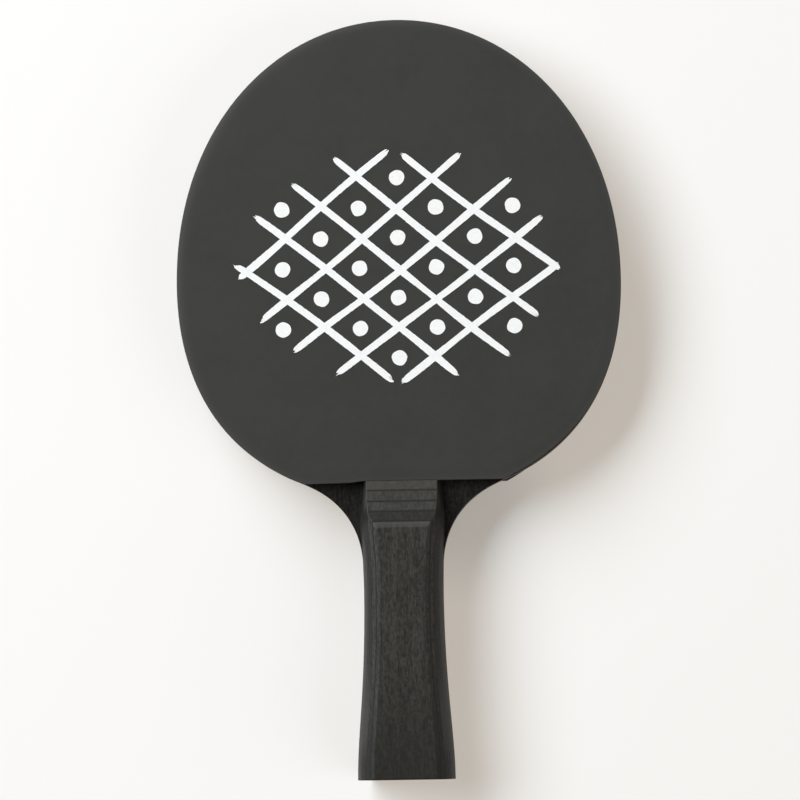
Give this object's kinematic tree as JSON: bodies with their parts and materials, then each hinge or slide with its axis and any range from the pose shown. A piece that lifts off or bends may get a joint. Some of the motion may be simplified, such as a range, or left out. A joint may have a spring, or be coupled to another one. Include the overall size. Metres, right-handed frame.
{
  "type": "table tennis bat",
  "caption": "Table tennis bat: rounded plywood blade with a smooth sandwich rubber on each face and a laminated flared handle.",
  "frame": {"origin": "middle of the bat's length and width, on the flat back face of the handle", "axes": "+Y along the bat from the butt to the tip of the head, +Z out of the front face"},
  "size_m": [0.15, 0.2564, 0.023],
  "materials": {
    "blade_core_wood": "dark stained cut edge of a thick wood ply",
    "blade_cross_wood": "dark stained cut edge of a cross-grain ply",
    "black_stained_veneer": "black stained veneer with fine lengthwise grain",
    "handle_ply_wood": "grey-black stained ply, sanded",
    "handle_face_wood": "grey-black stained wood with fine grain, satin",
    "black_sponge": "matte fine-celled foam rubber",
    "black_rubber": "smooth matte sheet rubber",
    "white_print": "thin white screen print on the rubber"
  },
  "bodies": {
    "root": {"blade_core": "blade_core_wood", "blade_cross_ply_front": "blade_cross_wood", "blade_cross_ply_back": "blade_cross_wood", "blade_face_ply_front": "black_stained_veneer", "blade_face_ply_back": "black_stained_veneer", "handle_front_ply_1": "handle_ply_wood", "handle_front_ply_2": "handle_ply_wood", "handle_front_ply_3": "handle_ply_wood", "handle_front_ply_4": "handle_ply_wood", "handle_front_face": "handle_face_wood", "handle_back_ply_1": "handle_ply_wood", "handle_back_ply_2": "handle_ply_wood", "handle_back_ply_3": "handle_ply_wood", "handle_back_ply_4": "handle_ply_wood", "handle_back_face": "handle_face_wood", "sponge_front": "black_sponge", "topsheet_front": "black_rubber", "sponge_back": "black_sponge", "topsheet_back": "black_rubber"}
  },
  "joints": []
}
